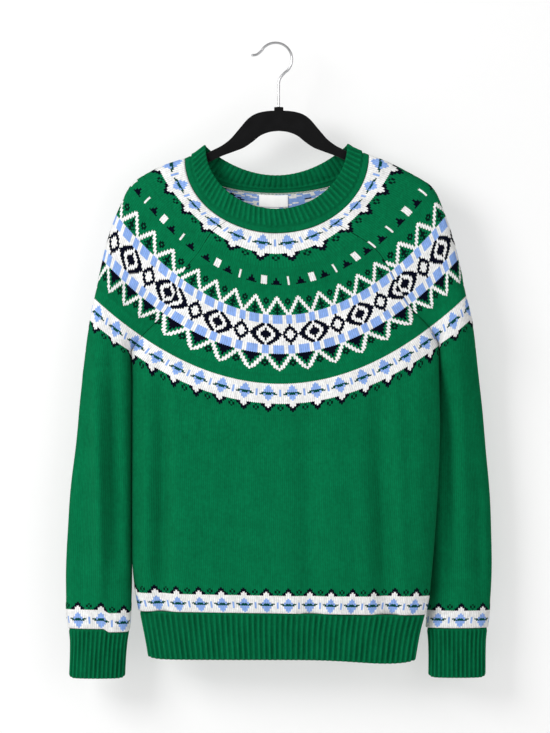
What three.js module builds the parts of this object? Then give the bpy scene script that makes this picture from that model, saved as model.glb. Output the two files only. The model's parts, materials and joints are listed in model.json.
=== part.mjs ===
// A fair isle jumper with a round yoke, hanging flat on a flocked hanger with a wire hook.
//
// Frame: millimetres, +Z up, the front faces -Y, +X is the viewer's right. The origin is the
// inside top of the hook, where a rail or nail carries the hanger.
// "left" and "right" in the names are the viewer's, looking at the front.
//
// Every knitted piece is one wall of cloth: a grid of points on its outer face, the same grid
// moved inwards by the cloth's thickness, and a rim that joins the two.
import * as THREE from 'three';

// ---------------------------------------------------------------- driving sizes

const SEAM_GAP = 0.4; // clear space between two pieces that are sewn together
const NECK_GAP = 0.6; // the same at the neck seam, where the pieces bend most
const CLOTH = 2.4; // wall of stocking stitch
const RIB_CLOTH = 3; // wall of the ribbed trims
const LABEL_CLOTH = 0.8;
const LABEL_WIDTH = 38;
const LABEL_HEIGHT = 16;
const SIZE_TAB_WIDTH = 21;
const SIZE_TAB_HEIGHT = 6;
const LABEL_CENTRE_X = -2.5;
const SIZE_TAB_CENTRE_X = -5.5;
const LABEL_DROP = 2.5; // from the back neck seam to the label's top edge

const HEM_TOP_Z = -738.5;
const HEM_BOTTOM_Z = -799;
const HEM_TILT = 2.5; // the hem seam is this much lower on the right and higher on the left
const HEM_SAG = 5; // the hem's lower edge dips near the right side
const HEM_SAG_AT = 0.8;
const HEM_SAG_WIDTH = 0.35;
const CUFF_TOP_Z = -759.2;
const CUFF_BOTTOM_Z = -824;

const HOOK_WIRE_RADIUS = 1.6;
const HOOK_LOOP_RADIUS = 21.4; // to the middle of the wire
const HANGER_CENTRE_X = 4.2;
const HANGER_THICKNESS = 5;
const HANGER_BEVEL = 1.2;
const HANGER_BOSS_TOP_Z = -82;
const HANGER_BOSS_WIDTH = 12;
const HANGER_ARM_SLOPE = 0.54;
const HANGER_ARM_DEPTH = 13;
const HANGER_ARM_END = 176; // from the hanger's middle to the middle of its rounded end

// Where the underarm hollow begins to part the sleeve from the body, as a place on the yoke.
const HOLLOW_START = 0.3;
const HOLLOW_POWER = 2.5;
const FAIRING_POWER = 6; // how soon the tubes below the underarm take their own plain form

// Counts of grid cells.
const YOKE_CELLS = 11;
const TUBE_CELLS = 8;
const PANEL_CELLS = 22;
const SLEEVE_CELLS = 20;
const NECK_CELLS = 56;
const RIB_CELLS = 3;

// ---------------------------------------------------------------- tables

function table(columns, ...rows) {
  return rows.map((row) => Object.fromEntries(columns.map((name, i) => [name, row[i]])));
}

// Rings of the yoke. place runs from the neck seam (0) to the underarm (1). front and back are
// the ring's lowest heights, left and right its outermost points, depth its half thickness
// from front to back, round how circular its curve is, and the raglans the angle at which the
// front and back end and the sleeves begin.
const YOKE = table(
  ['place', 'front', 'back', 'leftX', 'leftZ', 'rightX', 'rightZ', 'depth', 'round',
    'leftRaglan', 'rightRaglan'],
  [0.000, -247, -193.3, -118.0, -148.6, 121.5, -144.0, 21, 1.00, 33.0, 34.0],
  [0.113, -272, -218.0, -149.0, -160.0, 150.5, -155.5, 22, 0.28, 33.0, 35.0],
  [0.286, -310, -258.0, -185.5, -181.5, 200.5, -184.5, 24, 0.00, 33.5, 37.5],
  [0.440, -344, -294.0, -202.5, -213.0, 217.0, -215.0, 25, 0.00, 37.0, 41.0],
  [0.598, -379, -334.0, -216.5, -251.0, 230.0, -251.5, 26, 0.00, 38.5, 43.5],
  [0.740, -410, -376.0, -226.5, -290.0, 239.5, -288.5, 26, 0.00, 42.0, 47.0],
  [0.881, -441, -431.0, -235.0, -330.0, 248.0, -326.5, 26, 0.00, 48.0, 53.0],
  [1.000, -467, -467.0, -240.0, -359.0, 255.0, -356.0, 26, 0.00, 52.2, 56.1],
);

// The body below the yoke. place runs from the underarm (0) to the hem seam (1). swing moves
// the right side forwards, in front of that sleeve.
const BODY = table(
  ['place', 'left', 'right', 'depth', 'swing'],
  [0.000, -187.8, 212.6, 26, 0],
  [0.080, -184.4, 212.3, 26, -5],
  [0.200, -183.6, 212.8, 26, -8],
  [0.300, -184.0, 213.6, 26, -8],
  [0.500, -184.6, 211.6, 26, -8],
  [0.700, -184.6, 207.0, 25, -8],
  [0.820, -184.4, 203.4, 25, -8],
  [0.925, -181.0, 199.6, 25, -7],
  [1.000, -176.4, 195.0, 24, -6],
);

// The hem rib, from its seam (0) to its lower edge (1).
const HEM = table(
  ['place', 'left', 'right', 'depth', 'swing'],
  [0.0, -175.4, 194.0, 23.5, -6],
  [0.4, -171.3, 188.0, 22.0, -5],
  [1.0, -165.2, 181.8, 21.0, -4],
);

// The sleeves below the yoke. place runs from the underarm (0) to the cuff seam (1), outer and
// inner are the sleeve's two edges, and back moves it away from the front of the body.
const SLEEVES = {
  left: table(
    ['place', 'outerX', 'outerZ', 'innerX', 'innerZ', 'depth', 'back'],
    [0.00, -240.0, -359.0, -188.2, -398.0, 19.0, 0],
    [0.11, -247.0, -401.7, -188.4, -434.0, 20.0, 1],
    [0.23, -254.2, -456.3, -188.4, -475.0, 20.5, 2],
    [0.33, -258.4, -496.6, -188.4, -508.0, 20.5, 2],
    [0.50, -265.5, -566.8, -188.6, -572.0, 20.5, 2],
    [0.67, -270.0, -633.0, -188.2, -635.7, 20.5, 2],
    [0.82, -272.4, -686.4, -188.0, -687.7, 20.0, 2],
    [0.90, -272.4, -718.9, -187.8, -718.9, 19.0, 2],
    [0.95, -272.0, -738.4, -188.2, -738.4, 18.0, 2],
    [1.00, -269.1, CUFF_TOP_Z, -189.2, CUFF_TOP_Z, 17.0, 2],
  ),
  right: table(
    ['place', 'outerX', 'outerZ', 'innerX', 'innerZ', 'depth', 'back'],
    [0.00, 255.0, -356.0, 213.0, -390.6, 19.0, 0],
    [0.05, 258.0, -375.0, 214.2, -408.0, 19.5, 5],
    [0.11, 260.8, -396.0, 213.0, -428.0, 20.0, 10],
    [0.23, 267.5, -450.0, 205.0, -470.0, 20.5, 18],
    [0.33, 272.0, -500.0, 201.5, -512.0, 20.5, 20],
    [0.50, 277.6, -566.8, 199.0, -573.0, 20.5, 20],
    [0.67, 281.7, -634.0, 198.2, -637.0, 20.5, 20],
    [0.82, 282.3, -690.0, 198.0, -691.0, 20.0, 19],
    [0.93, 280.2, -733.0, 197.7, -733.0, 18.5, 17],
    [1.00, 276.9, CUFF_TOP_Z, 195.9, CUFF_TOP_Z, 17.0, 15],
  ),
};

// The cuffs, from their seams (0) to their open ends (1).
const CUFFS = {
  left: table(
    ['place', 'outer', 'inner', 'depth', 'back'],
    [0.0, -268.0, -191.0, 16.6, 2],
    [0.3, -266.6, -193.6, 16.0, 2],
    [1.0, -267.8, -196.2, 15.5, 2],
  ),
  right: table(
    ['place', 'outer', 'inner', 'depth', 'back'],
    [0.0, 275.6, 198.3, 16.6, 15],
    [0.3, 273.6, 199.8, 16.0, 14],
    [1.0, 273.2, 200.0, 15.5, 13],
  ),
};

// The upper edge of the neckband: heights at front and back, the two side points, and how far
// the edge stands forwards at the front and backwards at the back.
const NECK_EDGE = {
  front: -215, back: -169.5, leftX: -91.5, leftZ: -131, rightX: 93.5, rightZ: -129.5,
  frontDepth: 19.5, backDepth: 16, frontRound: 1, backRound: 0.15,
};

// The wire of the hook from the boss up to its loop, and beyond the loop to its flared tip.
const HOOK_STEM = table(['x', 'z'], [4.2, -81.6], [4.2, -58], [5.2, -46.5]);
const HOOK_TIP = table(['x', 'z'], [-24.6, -13.8], [-31.6, -14.8]);
const HOOK_LOOP_START = -58; // degrees round the loop's middle
const HOOK_LOOP_END = 150;

// One half of the hanger's outline out to where its straight arm begins, from the middle.
const HANGER_TOP = table(
  ['x', 'z'], [7, -87.2], [22, -88.5], [41, -97.5], [52, -111], [63, -124], [86, -138.2],
);
const HANGER_UNDERSIDE = table(['x', 'z'], [73, -145], [45, -134.6], [24, -119.3], [0, -113.1]);

// ---------------------------------------------------------------- helpers

const { lerp, clamp, degToRad } = THREE.MathUtils;

// Reads one column of a table, smoothly, at a place along it.
function read(rows, column, place) {
  const last = rows.length - 1;
  const at = clamp(place, rows[0].place, rows[last].place);
  let i = 0;
  while (i < last - 1 && at > rows[i + 1].place) i += 1;
  const slope = (k) => {
    const before = rows[Math.max(k - 1, 0)];
    const after = rows[Math.min(k + 1, last)];
    return (after[column] - before[column]) / (after.place - before.place);
  };
  const span = rows[i + 1].place - rows[i].place;
  const s = (at - rows[i].place) / span;
  const rise = s * s * (3 - 2 * s);
  return (
    rows[i][column] * (1 - rise) + rows[i + 1][column] * rise
    + span * (slope(i) * s * (1 - s) ** 2 - slope(i + 1) * s * s * (1 - s))
  );
}

const spaced = (from, to, cells) => Array.from({ length: cells + 1 }, (_, i) => lerp(from, to, i / cells));

// How far the underarm hollow has opened at a place on the yoke: 0 above it, 1 at the underarm.
function hollow(place) {
  return clamp((place - HOLLOW_START) / (1 - HOLLOW_START), 0, 1) ** HOLLOW_POWER;
}

// How far a point at half width `across` (-1 to 1) has climbed from a ring's lowest height to
// its side.
function climb(across, round) {
  const circle = 1 - Math.sqrt(Math.max(0, 1 - across * across));
  return lerp(across * across, circle, round);
}

// A point on a ring of the yoke; side is -1 for the front and 1 for the back.
function yokePoint(place, across, depth, side) {
  const ring = (column) => read(YOKE, column, place);
  const middle = (ring('leftX') + ring('rightX')) / 2;
  const half = (ring('rightX') - ring('leftX')) / 2;
  const low = ring(side < 0 ? 'front' : 'back');
  const high = ring(across < 0 ? 'leftZ' : 'rightZ');
  return new THREE.Vector3(
    middle + half * across,
    side * depth,
    lerp(low, high, climb(across, ring('round'))),
  );
}

// ---------------------------------------------------------------- outer faces

// The height of the hem seam under a point of the front or back.
const hemSeam = (across) => HEM_TOP_Z - HEM_TILT * across;

// A point on a tube that hangs below the yoke, given the table of its sections.
function bodyPoint(rows, place, across, side, z) {
  const x = lerp(read(rows, 'left', place), read(rows, 'right', place), (1 + across) / 2);
  const depth = read(rows, 'depth', place) * Math.sqrt(1 - across ** 4) + SEAM_GAP / 2;
  const swing = read(rows, 'swing', place) * ((1 + across) / 2) ** 4;
  return new THREE.Vector3(x, side * depth + swing, z);
}

// The front or back: level 0 to 1 is the yoke, from the neck seam to the underarm, and 1 to 2
// the body, down to the hem seam. turn is -1 at the left edge and 1 at the right.
function panelPoint(side, level, turn) {
  const across = Math.sin((Math.PI / 2) * turn);
  const place = Math.min(level, 1);
  const half = (read(YOKE, 'rightX', place) - read(YOKE, 'leftX', place)) / 2;
  const inset = SEAM_GAP / half;
  const left = -Math.sin(degToRad(read(YOKE, 'leftRaglan', place))) + inset;
  const right = Math.sin(degToRad(read(YOKE, 'rightRaglan', place))) - inset;
  const ringAcross = lerp(left, right, (1 + across) / 2);
  const wide = read(YOKE, 'depth', place);
  const joined = wide * (1 - ringAcross * ringAcross) ** 0.25;
  const parted = wide * Math.sqrt(1 - across ** 4) + SEAM_GAP / 2;
  const ring = yokePoint(place, ringAcross, lerp(joined, parted, hollow(place)), side);
  if (level <= 1) return ring;
  const below = level - 1;
  const point = bodyPoint(BODY, below, across, side, lerp(ring.z, hemSeam(across), below));
  const start = bodyPoint(BODY, 0, across, side, ring.z);
  return point.add(ring.sub(start).multiplyScalar((1 - below) ** FAIRING_POWER));
}

// A sleeve: level 0 to 1 is its part of the yoke and 1 to 2 its tube, down to the cuff seam.
// turn is -1 at the front raglan, 0 along the outer fold and 1 at the back raglan.
function sleevePoint(hand, level, turn) {
  const sign = hand === 'left' ? -1 : 1;
  const side = turn < 0 ? -1 : 1;
  const round = Math.abs(turn);
  const place = Math.min(level, 1);
  const half = (read(YOKE, 'rightX', place) - read(YOKE, 'leftX', place)) / 2;
  const raglan = degToRad(read(YOKE, `${hand}Raglan`, place)) + SEAM_GAP / 2 / half;
  const open = hollow(place);
  const angle = Math.PI / 2 - (Math.PI / 2 - raglan) * round ** 2;
  const edge = Math.sin(raglan);
  const loop = (1 + edge) / 2 + ((1 - edge) / 2) * Math.cos(Math.PI * round);
  const joined = read(YOKE, 'depth', place) * Math.sqrt(Math.max(0, Math.cos(angle)));
  const parted = SLEEVES[hand][0].depth * Math.sin(Math.PI * round) + (SEAM_GAP / 2) * round;
  const across = sign * lerp(Math.sin(angle), loop, open);
  const ring = yokePoint(place, across, lerp(joined, parted, open), side);
  if (level <= 1) return ring;
  const below = level - 1;
  const start = tubePoint(hand, 0, turn);
  return tubePoint(hand, below, turn).add(ring.sub(start).multiplyScalar((1 - below) ** FAIRING_POWER));
}

// A point on the plain tube of a sleeve, before it is faired into the yoke.
function tubePoint(hand, place, turn) {
  const rows = SLEEVES[hand];
  const side = turn < 0 ? -1 : 1;
  const round = Math.abs(turn);
  const share = (1 - Math.cos(Math.PI * round)) / 2;
  const depth = read(rows, 'depth', place) * Math.sin(Math.PI * round) + (SEAM_GAP / 2) * round;
  return new THREE.Vector3(
    lerp(read(rows, 'outerX', place), read(rows, 'innerX', place), share),
    read(rows, 'back', place) + side * depth,
    lerp(read(rows, 'outerZ', place), read(rows, 'innerZ', place), share),
  );
}

// The hem rib, front or back.
function hemPoint(side, place, turn) {
  const across = Math.sin((Math.PI / 2) * turn);
  const sag = HEM_SAG * Math.exp(-(((across - HEM_SAG_AT) / HEM_SAG_WIDTH) ** 2));
  const top = hemSeam(across) - SEAM_GAP;
  return bodyPoint(HEM, place, across, side, lerp(top, HEM_BOTTOM_Z - sag, place));
}

// A cuff; turn goes once round from the inner edge.
function cuffPoint(hand, place, turn) {
  const rows = CUFFS[hand];
  const angle = 2 * Math.PI * turn;
  return new THREE.Vector3(
    lerp(read(rows, 'inner', place), read(rows, 'outer', place), (1 - Math.cos(angle)) / 2),
    read(rows, 'back', place) - read(rows, 'depth', place) * Math.sin(angle),
    lerp(CUFF_TOP_Z - SEAM_GAP, CUFF_BOTTOM_Z, place),
  );
}

// The neckband; turn goes once round from the left side by the front. It leaves the neck seam
// along the yoke and leans in to its upper edge.
function neckPoint(place, turn) {
  const side = turn < 0.5 ? -1 : 1;
  const along = turn < 0.5 ? turn * 4 - 1 : 3 - turn * 4;
  const angle = Math.sign(along) * (Math.PI / 2) * (1 - (1 - Math.abs(along)) ** 2);
  const across = Math.sin(angle);
  const deep = Math.sqrt(Math.max(0, Math.cos(angle)));
  const seam = yokePoint(0, across, read(YOKE, 'depth', 0) * deep, side);
  const below = yokePoint(0.03, across, read(YOKE, 'depth', 0.03) * deep, side);
  const low = side < 0 ? NECK_EDGE.front : NECK_EDGE.back;
  const high = across < 0 ? NECK_EDGE.leftZ : NECK_EDGE.rightZ;
  const round = side < 0 ? NECK_EDGE.frontRound : NECK_EDGE.backRound;
  const edge = new THREE.Vector3(
    lerp(NECK_EDGE.leftX, NECK_EDGE.rightX, (1 + across) / 2),
    side * deep * (side < 0 ? NECK_EDGE.frontDepth : NECK_EDGE.backDepth),
    lerp(low, high, climb(across, round)),
  );
  const width = edge.distanceTo(seam);
  const leave = seam.clone().sub(below).setLength(width);
  const arrive = edge.clone().sub(seam);
  const p = lerp(NECK_GAP / width, 1, place);
  const rise = p * p * (3 - 2 * p);
  return seam.multiplyScalar(1 - rise).addScaledVector(edge, rise)
    .addScaledVector(leave, p * (1 - p) ** 2)
    .addScaledVector(arrive, -p * p * (1 - p));
}

// A small piece that lies on the inside of the back, under its neck seam.
function labelPoint(centre, width, top, height) {
  return (down, turn) => {
    const neckZ = read(YOKE, 'back', 0);
    const x = centre + (width / 2) * turn;
    const level = (top + height * down) / (neckZ - read(YOKE, 'back', 0.113)) * 0.113;
    const middle = (read(YOKE, 'leftX', level) + read(YOKE, 'rightX', level)) / 2;
    const half = (read(YOKE, 'rightX', level) - read(YOKE, 'leftX', level)) / 2;
    const across = (x - middle) / half;
    const depth = read(YOKE, 'depth', level) * (1 - across * across) ** 0.25;
    const point = yokePoint(level, across, depth, 1);
    point.y -= CLOTH + SEAM_GAP;
    return point;
  };
}

// ---------------------------------------------------------------- solids

// A wall of cloth behind an outer face. outward is a rough direction out of the face at a
// point; closed joins the last column to the first.
function wall(pointAt, rows, columns, thickness, outward, closed = false) {
  const step = 1e-4;
  const inside = (value, all) => clamp(value, all[0], all[all.length - 1]);
  const normalAt = (row, column) => {
    const above = pointAt(inside(row - step, rows), column);
    const below = pointAt(inside(row + step, rows), column);
    const before = pointAt(row, closed ? (column - step + 1) % 1 : inside(column - step, columns));
    const after = pointAt(row, closed ? (column + step) % 1 : inside(column + step, columns));
    return after.sub(before).cross(below.sub(above)).normalize();
  };
  const steps = closed ? columns.slice(0, -1) : columns;
  const outer = rows.map((row) => steps.map((column) => pointAt(row, column)));
  const i0 = Math.floor(rows.length / 2);
  const j0 = Math.floor(steps.length / 3);
  const sign = normalAt(rows[i0], steps[j0]).dot(outward(outer[i0][j0])) < 0 ? -1 : 1;
  const inner = outer.map((line, i) => line.map((point, j) => (
    point.clone().addScaledVector(normalAt(rows[i], steps[j]), -sign * thickness)
  )));

  const positions = [...outer.flat(), ...inner.flat()].flatMap((p) => p.toArray());
  const width = steps.length;
  const faces = [];
  const index = (i, j, layer) => layer * rows.length * width + i * width + (j % width);
  const quad = (a, b, c, d) => {
    if (sign > 0) faces.push(a, b, c, a, c, d);
    else faces.push(a, c, b, a, d, c);
  };
  const cells = closed ? width : width - 1;
  for (let i = 0; i < rows.length - 1; i += 1) {
    for (let j = 0; j < cells; j += 1) {
      quad(index(i, j, 0), index(i, j + 1, 0), index(i + 1, j + 1, 0), index(i + 1, j, 0));
      quad(index(i, j, 1), index(i + 1, j, 1), index(i + 1, j + 1, 1), index(i, j + 1, 1));
    }
  }
  const end = rows.length - 1;
  for (let j = 0; j < cells; j += 1) {
    quad(index(0, j, 1), index(0, j + 1, 1), index(0, j + 1, 0), index(0, j, 0));
    quad(index(end, j, 0), index(end, j + 1, 0), index(end, j + 1, 1), index(end, j, 1));
  }
  for (let i = 0; i < rows.length - 1 && !closed; i += 1) {
    const side = width - 1;
    quad(index(i, 0, 1), index(i, 0, 0), index(i + 1, 0, 0), index(i + 1, 0, 1));
    quad(index(i, side, 0), index(i, side, 1), index(i + 1, side, 1), index(i + 1, side, 0));
  }
  const geometry = new THREE.BufferGeometry();
  geometry.setAttribute('position', new THREE.Float32BufferAttribute(positions, 3));
  geometry.setIndex(faces);
  return geometry;
}

function hookGeometry() {
  const centre = HOOK_WIRE_RADIUS - HOOK_LOOP_RADIUS;
  const loop = spaced(HOOK_LOOP_START, HOOK_LOOP_END, 9).map((degrees) => ({
    x: HOOK_LOOP_RADIUS * Math.cos(degToRad(degrees)),
    z: centre + HOOK_LOOP_RADIUS * Math.sin(degToRad(degrees)),
  }));
  const route = [...HOOK_STEM, ...loop, ...HOOK_TIP].map(({ x, z }) => new THREE.Vector3(x, 0, z));
  const section = new THREE.Shape();
  section.absarc(0, 0, HOOK_WIRE_RADIUS, 0, 2 * Math.PI, false);
  return new THREE.ExtrudeGeometry(section, {
    steps: 56,
    curveSegments: 5,
    bevelEnabled: false,
    extrudePath: new THREE.CatmullRomCurve3(route, false, 'centripetal'),
  });
}

function hangerGeometry() {
  const along = (rows, sign) => rows.map(({ x, z }) => new THREE.Vector2(HANGER_CENTRE_X + sign * x, z));
  const shoulder = HANGER_TOP[HANGER_TOP.length - 1];
  const endTop = shoulder.z - HANGER_ARM_SLOPE * (HANGER_ARM_END - shoulder.x);
  const endMiddle = endTop - HANGER_ARM_DEPTH / 2;
  const endRadius = HANGER_ARM_DEPTH / 2;
  const roundEnd = (sign) => spaced(75, -85, 6).map((degrees) => new THREE.Vector2(
    HANGER_CENTRE_X + sign * (HANGER_ARM_END + endRadius * Math.cos(degToRad(degrees))),
    endMiddle + endRadius * Math.sin(degToRad(degrees)),
  ));
  const boss = [-HANGER_BOSS_WIDTH / 2, HANGER_BOSS_WIDTH / 2].map((x) => (
    new THREE.Vector2(HANGER_CENTRE_X + x, HANGER_BOSS_TOP_Z)
  ));
  const outline = new THREE.Shape([
    ...boss,
    ...along(HANGER_TOP, 1),
    ...roundEnd(1),
    ...along(HANGER_UNDERSIDE, 1),
    ...along(HANGER_UNDERSIDE.slice(0, -1), -1).reverse(),
    ...roundEnd(-1).reverse(),
    ...along(HANGER_TOP, -1).reverse(),
  ]);
  const geometry = new THREE.ExtrudeGeometry(outline, {
    depth: HANGER_THICKNESS - 2 * HANGER_BEVEL,
    bevelEnabled: true,
    bevelThickness: HANGER_BEVEL,
    bevelSize: HANGER_BEVEL,
    bevelOffset: -HANGER_BEVEL,
    bevelSegments: 1,
  });
  geometry.rotateX(Math.PI / 2);
  geometry.translate(0, HANGER_THICKNESS / 2 - HANGER_BEVEL, 0);
  return geometry;
}

// ---------------------------------------------------------------- pieces

const GREEN = { color: '#0b6b45', roughness: 0.9, metalness: 0 };
const RIB_GREEN = { color: '#0a5f3d', roughness: 0.92, metalness: 0 };
const LABEL_WHITE = { color: '#eceae4', roughness: 0.7, metalness: 0 };
const FLOCK_BLACK = { color: '#0d0d0f', roughness: 0.98, metalness: 0 };
const HOOK_STEEL = { color: '#b9bcbf', roughness: 0.2, metalness: 1 };

const group = new THREE.Group();

function piece(name, geometry, finish) {
  const mesh = new THREE.Mesh(geometry, new THREE.MeshStandardMaterial(finish));
  mesh.name = name;
  group.add(mesh);
}

const levels = [...spaced(0, 1, YOKE_CELLS), ...spaced(1, 2, TUBE_CELLS).slice(1)];
const panelTurns = spaced(-1, 1, PANEL_CELLS);
const sleeveTurns = spaced(-1, 1, SLEEVE_CELLS);
const cuffTurns = spaced(0, 1, SLEEVE_CELLS);
const neckTurns = spaced(0, 1, NECK_CELLS);
const ribPlaces = spaced(0, 1, RIB_CELLS);
const facing = { front: -1, back: 1 };

for (const [name, side] of Object.entries(facing)) {
  const out = () => new THREE.Vector3(0, side, 0);
  piece(name, wall((level, turn) => panelPoint(side, level, turn), levels, panelTurns, CLOTH, out), GREEN);
  piece(
    `hem_rib_${name}`,
    wall((place, turn) => hemPoint(side, place, turn), ribPlaces, panelTurns, RIB_CLOTH, out),
    RIB_GREEN,
  );
}

for (const hand of ['left', 'right']) {
  const out = (point) => new THREE.Vector3(0, point.y < SLEEVES[hand][5].back ? -1 : 1, 0);
  piece(
    `sleeve_${hand}`,
    wall((level, turn) => sleevePoint(hand, level, turn), levels, sleeveTurns, CLOTH, out),
    GREEN,
  );
  piece(
    `cuff_${hand}`,
    wall((place, turn) => cuffPoint(hand, place, turn), ribPlaces, cuffTurns, RIB_CLOTH, out, true),
    RIB_GREEN,
  );
}

const outOfNeck = (point) => new THREE.Vector3(0, point.y, 0);
piece('neckband', wall(neckPoint, ribPlaces, neckTurns, RIB_CLOTH, outOfNeck, true), RIB_GREEN);

const towardsBack = () => new THREE.Vector3(0, 1, 0);
const labelTurns = spaced(-1, 1, 6);
const labelFace = labelPoint(LABEL_CENTRE_X, LABEL_WIDTH, LABEL_DROP, LABEL_HEIGHT);
const tabTop = LABEL_DROP + LABEL_HEIGHT + SEAM_GAP;
const tabFace = labelPoint(SIZE_TAB_CENTRE_X, SIZE_TAB_WIDTH, tabTop, SIZE_TAB_HEIGHT);
piece('label', wall(labelFace, [0, 0.5, 1], labelTurns, LABEL_CLOTH, towardsBack), LABEL_WHITE);
piece('size_tab', wall(tabFace, [0, 1], labelTurns, LABEL_CLOTH, towardsBack), LABEL_WHITE);

piece('hanger_body', hangerGeometry(), FLOCK_BLACK);
piece('hanger_hook', hookGeometry(), HOOK_STEEL);

export default group;
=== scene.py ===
"""A fair isle jumper on a hanger: knitted panels stitch by stitch, ribs, label, flock and wire.

Shapes are worked out in millimetres, in the part's own frame, and written to meshes in metres.
The jumper's surfaces are the part's: rings round the yoke, sections down the body and sleeves.
Each stitch of stocking stitch is two small faces whose colour comes from charts drawn below.
"""
import json
import math

import bmesh
import bpy
import numpy as np
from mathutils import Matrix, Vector

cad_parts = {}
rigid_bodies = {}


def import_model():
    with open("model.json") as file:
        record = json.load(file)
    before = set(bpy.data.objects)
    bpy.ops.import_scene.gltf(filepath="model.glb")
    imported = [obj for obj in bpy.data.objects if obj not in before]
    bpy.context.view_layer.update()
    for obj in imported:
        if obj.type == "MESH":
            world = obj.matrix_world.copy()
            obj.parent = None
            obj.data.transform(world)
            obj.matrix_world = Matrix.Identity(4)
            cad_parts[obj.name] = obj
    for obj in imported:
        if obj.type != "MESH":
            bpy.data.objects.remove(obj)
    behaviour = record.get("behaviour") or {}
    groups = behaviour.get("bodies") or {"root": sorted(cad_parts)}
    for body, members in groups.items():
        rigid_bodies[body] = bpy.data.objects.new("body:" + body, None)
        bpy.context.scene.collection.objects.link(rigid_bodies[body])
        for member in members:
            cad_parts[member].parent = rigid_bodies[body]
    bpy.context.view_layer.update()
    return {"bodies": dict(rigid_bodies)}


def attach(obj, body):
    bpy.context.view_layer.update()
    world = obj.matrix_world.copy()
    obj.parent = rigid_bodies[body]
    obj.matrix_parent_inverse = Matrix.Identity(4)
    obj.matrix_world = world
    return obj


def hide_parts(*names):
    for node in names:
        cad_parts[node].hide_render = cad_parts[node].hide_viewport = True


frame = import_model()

BODY_NAME = next(iter(frame["bodies"]))
MM = 0.001

# ---- sizes, in millimetres

SEAM_GAP = 0.06  # sewn pieces all but meet
NECK_GAP = 0.4
CLOTH = 2.4
RIB_CLOTH = 3.0
HEM_TOP_Z, HEM_BOTTOM_Z, HEM_TILT = -738.5, -799.0, 2.5
HEM_SAG, HEM_SAG_AT, HEM_SAG_WIDTH = 5.0, 0.8, 0.35
CUFF_TOP_Z, CUFF_BOTTOM_Z = -759.2, -824.0
CUFF_CREASE_X, CUFF_DROP = -224.0, 4.5
CORNER_LIFT = 3.0  # the ribs' lower corners are rounded
HOLLOW_START, HOLLOW_POWER, FAIRING_POWER = 0.3, 2.5, 6

STITCH_WIDE = 2.5
ROW_TALL = 1.85
TRIM_ROW_TALL = 1.65  # rows are a little closer above the ribs
YOKE_ROWS = 119
RELIEF_RISE = 0.22  # a stitch's middle stands out this much
RELIEF_FALL = 0.34  # and the groove between wales lies this deep
ZONE_RELIEF, EDGE_RELIEF = 0.15, 0.05  # share left where counts change, and mm at the edges
STRANDED_RISE = 0.4  # the patterned bands are double and stand this much proud
FOLD_DEPTH = 2.6  # times the rises in the table of folds
SEAM_TUCK, SEAM_TUCK_WIDE = 0.3, 2.6  # how far cloth turns in at its side seams
CALM_WIDE = 18  # unevenness dies away this close to a seam
UNEVEN, UNEVEN_WAVE = 0.9, 90  # slow unevenness of the hanging cloth, and its length
INNER_ROWS = 8  # rows of stitches to each row of faces on the plain inside
RIB_STEPS, RIB_ROW_TALL = 8, 1.4  # faces across one rib, and how tall they are
RIB_SQUARE = 1.9  # how steep a rib's sides are
RIB_WAVE, RIB_TAPER = 60, 0.08
PICKED_UP, PICKED_UP_TALL = 1.3, 0.035  # the groove where a plain part ends in a rib
RIDGE, RIDGE_BELOW, RIDGE_TALL = 0.5, 0.1, 0.06  # and the ridge below it
ROUND_OFF, ROUND_OFF_TALL = 0.7, 0.04  # of a rib's free edge
INNER_COLUMNS = 150
LEG_SLANT = 0.5  # in rows: how far the middle of a stitch hangs below its edges


def table(columns, *rows):
    return {name: np.array([row[i] for row in rows], float) for i, name in enumerate(columns)}


YOKE = table(
    ["place", "front", "back", "leftX", "leftZ", "rightX", "rightZ", "depth", "round",
     "leftRaglan", "rightRaglan"],
    [0, -247, -193.3, -118, -148.6, 121.5, -144, 21, 1, 33, 34],
    [0.113, -272, -218, -149, -160, 150.5, -155.5, 22, 0.28, 33, 35],
    [0.286, -310, -258, -185.5, -181.5, 200.5, -184.5, 24, 0, 33.5, 37.5],
    [0.44, -344, -294, -202.5, -213, 217, -215, 25, 0, 37, 41],
    [0.598, -379, -334, -216.5, -251, 230, -251.5, 26, 0, 38.5, 43.5],
    [0.74, -410, -376, -226.5, -290, 239.5, -288.5, 26, 0, 42, 47],
    [0.881, -441, -431, -235, -330, 248, -326.5, 26, 0, 48, 53],
    [1, -467, -467, -240, -359, 255, -356, 26, 0, 52.2, 56.1],
)
BODY = table(
    ["place", "left", "right", "depth", "swing"],
    [0, -187.8, 212.6, 26, 0],
    [0.08, -186.8, 212.3, 26, -5],
    [0.2, -186.7, 212.8, 26, -8],
    [0.3, -186.7, 213.6, 26, -8],
    [0.5, -186.8, 211.6, 26, -8],
    [0.7, -186.8, 207, 25, -8],
    [0.82, -186.3, 203.4, 25, -8],
    [0.925, -182.2, 199.6, 25, -7],
    [1, -176.4, 195, 24, -6],
)
HEM = table(
    ["place", "left", "right", "depth", "swing"],
    [0, -175.4, 194, 23.5, -6],
    [0.4, -171.3, 188, 22, -5],
    [1, -165.2, 181.8, 21, -4],
)
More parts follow.
